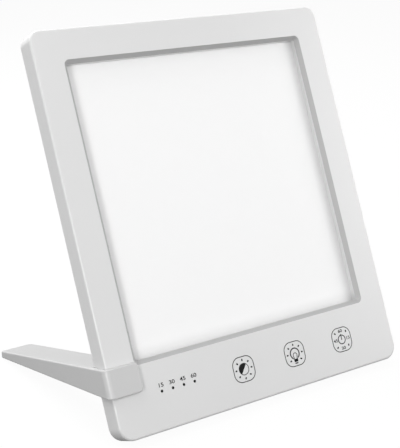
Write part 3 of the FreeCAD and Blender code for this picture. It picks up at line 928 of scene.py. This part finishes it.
def arcPoints(centre, radius, start, end, steps):
    points = []
    for step in range(steps + 1):
        angle = math.radians(start + (end - start) * step / steps)
        across, up = radius * math.cos(angle), radius * math.sin(angle)
        points.append(Vector((centre[0] + across, centre[1] + up, 0)))
    return points


def plate(work, outline, thickness):
    top = [work.verts.new(point) for point in outline]
    low = [work.verts.new(point - Vector((0, 0, thickness))) for point in outline]
    work.faces.new(top)
    work.faces.new(low[::-1])
    for index in range(len(top)):
        after = (index + 1) % len(top)
        work.faces.new((top[index], low[index], low[after], top[after]))


def closeMark(name, work, place):
    bmesh.ops.recalc_face_normals(work, faces=work.faces)
    return inkPiece(makeObject(name, work, ink, place))


def printDigits(name, text, height, x, z):
    curve = bpy.data.curves.new(name, "FONT")
    curve.body = text
    curve.size = height / marks["digitShare"]
    curve.align_x = "CENTER"
    curve.offset = marks["digitBold"]
    curve.extrude = marks["proud"]
    piece = bpy.data.objects.new(name, curve)
    bpy.context.scene.collection.objects.link(piece)
    bpy.context.view_layer.update()
    graph = bpy.context.evaluated_depsgraph_get()
    mesh = bpy.data.meshes.new_from_object(piece.evaluated_get(graph))
    bpy.data.objects.remove(piece)
    mesh.transform(Matrix.Translation((0, -height / 2, 0)))
    mesh.transform(Matrix.Diagonal((marks["digitSpread"], 1, 1, 1)))
    mesh.transform(onFace(x, z))
    mesh.materials.clear()
    mesh.materials.append(ink)
    made = bpy.data.objects.new(name, mesh)
    bpy.context.scene.collection.objects.link(made)
    return inkPiece(made)


inkThickness = 2 * marks["proud"]
rays = rayTree()
outline = outlineTree()
for key, x in marks["keys"].items():
    values = {
        "Width": marks["outline"],
        "Height": marks["outline"],
        "Radius": marks["outlineRadius"],
        "Stroke": marks["stroke"],
        "Thickness": inkThickness,
    }
    inkPiece(grow("outline_" + key, outline, values, onFace(x, marks["keyHeight"], marks["proud"])))


def rayRing(name, x, count, start, sweep, radius, length):
    values = {
        "Count": count,
        "Radius": radius,
        "Start": math.radians(start),
        "Sweep": math.radians(sweep),
        "Length": length,
        "Width": ray["width"],
        "Thickness": inkThickness,
    }
    inkPiece(grow(name, rays, values, onFace(x, marks["keyHeight"], marks["proud"])))


def ringPoints(radius, steps=44):
    return arcPoints((0, 0), radius, 0, 360 - 360 / (steps + 1), steps)


def taperedPlate(work, top, low):
    corners = ((-top[0], top[1]), (-low[0], low[1]), low, top)
    plate(work, [Vector((across, up, 0)) for across, up in corners], inkThickness)


def printBrightness(x):
    rayRing("brightnessRays", x, disc["rays"], -45, 315, ray["radius"], ray["length"])
    work = bmesh.new()
    stroke(work, ringPoints(disc["radius"]), disc["line"], inkThickness, closed=True)
    darkHalf = arcPoints((0, 0), disc["radius"], disc["darkFrom"], disc["darkFrom"] + 180, 24)
    plate(work, darkHalf, inkThickness)
    closeMark("brightnessDisc", work, onFace(x, marks["keyHeight"]))


def printBulb(x):
    rayRing("bulbRays", x, bulb["rays"], -45, 270, ray["radius"], ray["length"])
    work = bmesh.new()
    glass = arcPoints((0, bulb["glassRise"]), bulb["glassRadius"], -60, 240, 40)
    stroke(work, glass, bulb["glassLine"], inkThickness)
    across, up = bulb["loopFoot"]
    loop = arcPoints((0, bulb["loopRise"]), bulb["loopRadius"], 0, 180, 16)
    loop = [Vector((across, up, 0))] + loop + [Vector((-across, up, 0))]
    stroke(work, loop, bulb["loopLine"], inkThickness)
    taperedPlate(work, bulb["capTop"], bulb["capLow"])
    taperedPlate(work, bulb["tipTop"], bulb["tipLow"])
    closeMark("bulbSign", work, onFace(x, marks["keyHeight"]))


def printClock(x):
    rayRing("clockTicks", x, clock["ticks"], 45, 270, clock["tickRadius"], clock["tickLength"])
    work = bmesh.new()
    stroke(work, ringPoints(clock["radius"]), clock["line"], inkThickness, closed=True)
    stroke(work, [Vector((0, up, 0)) for up in clock["hand"]], clock["line"], inkThickness)
    closeMark("clockSign", work, onFace(x, marks["keyHeight"]))
    for text, (right, up) in clock["numbers"].items():
        printDigits("clock" + text, text, marks["smallDigit"], x + right, marks["keyHeight"] + up)


printBrightness(marks["keys"]["brightness"])
printBulb(marks["keys"]["light"])
printClock(marks["keys"]["timer"])
for minutes, x in zip(lens["minutes"], lensPlaces()):
    printDigits("minutes" + str(minutes), str(minutes), marks["digitHeight"], x, marks["digitCentre"])
print("printed marks made")

# Studio
studio = {
    "worldLevel": 0.2,
    "lampDistance": 1.4,
    "aimHeight": 0.1,
    "floorSize": 3.0,
    "floorColour": 0.485,
    "floorGlow": 0.95,
    "lamps": {  # turn from the front towards the right, height angle, size, power
        "key": (8, 45, 0.35, 2.5),
        "frontLeft": (-55, 15, 0.3, 5.6),
        "front": (-30, 20, 0.9, 2.5),
        "right": (60, 20, 0.9, 7.5),
        "backLeft": (-120, 50, 0.9, 7.0),
        "back": (180, 50, 0.9, 9.8),
        "overhead": (-90, 75, 0.9, 3.7),
    },
}


def makeWorld():
    world = bpy.data.worlds.new("studioWorld")
    bpy.context.scene.world = world
    world.use_nodes = True
    world.node_tree.nodes.clear()
    graph = Graph(world.node_tree)
    seen = graph.add("ShaderNodeLightPath", output="Is Camera Ray")
    gloss = Signal(graph, seen.socket.node.outputs["Is Glossy Ray"])
    through = Signal(graph, seen.socket.node.outputs["Is Transmission Ray"])
    plain = seen.math("MAXIMUM", seen.math("MAXIMUM", seen, gloss), through)
    strength = plain * (1 - studio["worldLevel"]) + studio["worldLevel"]
    glow = graph.add("ShaderNodeBackground", {}, {"Color": (1, 1, 1, 1), "Strength": strength})
    graph.add("ShaderNodeOutputWorld", {}, {"Surface": glow})


def makeFloor():
    work = bmesh.new()
    bmesh.ops.create_grid(work, x_segments=1, y_segments=1, size=studio["floorSize"])
    finish = Finish("studioFloor")
    seen = finish.add("ShaderNodeLightPath", output="Is Camera Ray")
    shade = finish.mix(seen, grey(studio["floorColour"]), grey(1.0))
    paint = finish.add("ShaderNodeBsdfDiffuse", {}, {"Color": shade})
    glow = finish.add("ShaderNodeEmission", {}, {"Color": (1, 1, 1, 1), "Strength": 1.0})
    both = finish.add(
        "ShaderNodeMixShader", {}, {0: seen * studio["floorGlow"], 1: paint, 2: glow}
    )
    finish.add("ShaderNodeOutputMaterial", {}, {"Surface": both})
    makeObject("studioFloor", work, finish.material)


def makeLamp(name, turn, rise, size, power):
    light = bpy.data.lights.new(name, "AREA")
    light.shape = "DISK"
    light.size = size
    light.energy = power
    lamp = bpy.data.objects.new(name, light)
    turn, rise = math.radians(turn), math.radians(rise)
    flat = math.cos(rise)
    way = Vector((flat * math.sin(turn), -flat * math.cos(turn), math.sin(rise)))
    lamp.location = way * studio["lampDistance"]
    aim = Vector((0, 0, studio["aimHeight"])) - lamp.location
    lamp.rotation_euler = aim.to_track_quat("-Z", "Y").to_euler()
    bpy.context.scene.collection.objects.link(lamp)


makeWorld()
makeFloor()
for name, lamp in studio["lamps"].items():
    makeLamp(name + "Lamp", *lamp)
bpy.context.scene.view_settings.view_transform = "Standard"
print("studio made")

# Camera at the photograph's place
view = {
    "place": (-0.3624, -0.53115, 0.29827),
    "pitch": 17.84,
    "yaw": 34.42,
    "lens": 88.79,
    "sensor": 36.0,
}
eye = bpy.data.cameras.new("photoCamera")
eye.lens = view["lens"]
eye.sensor_width = view["sensor"]
eye.sensor_height = view["sensor"]
eye.clip_start = 0.01
camera = bpy.data.objects.new("photoCamera", eye)
camera.location = view["place"]
camera.rotation_euler = (math.radians(90 - view["pitch"]), 0, math.radians(-view["yaw"]))
bpy.context.scene.collection.objects.link(camera)
bpy.context.scene.camera = camera
print("camera made")
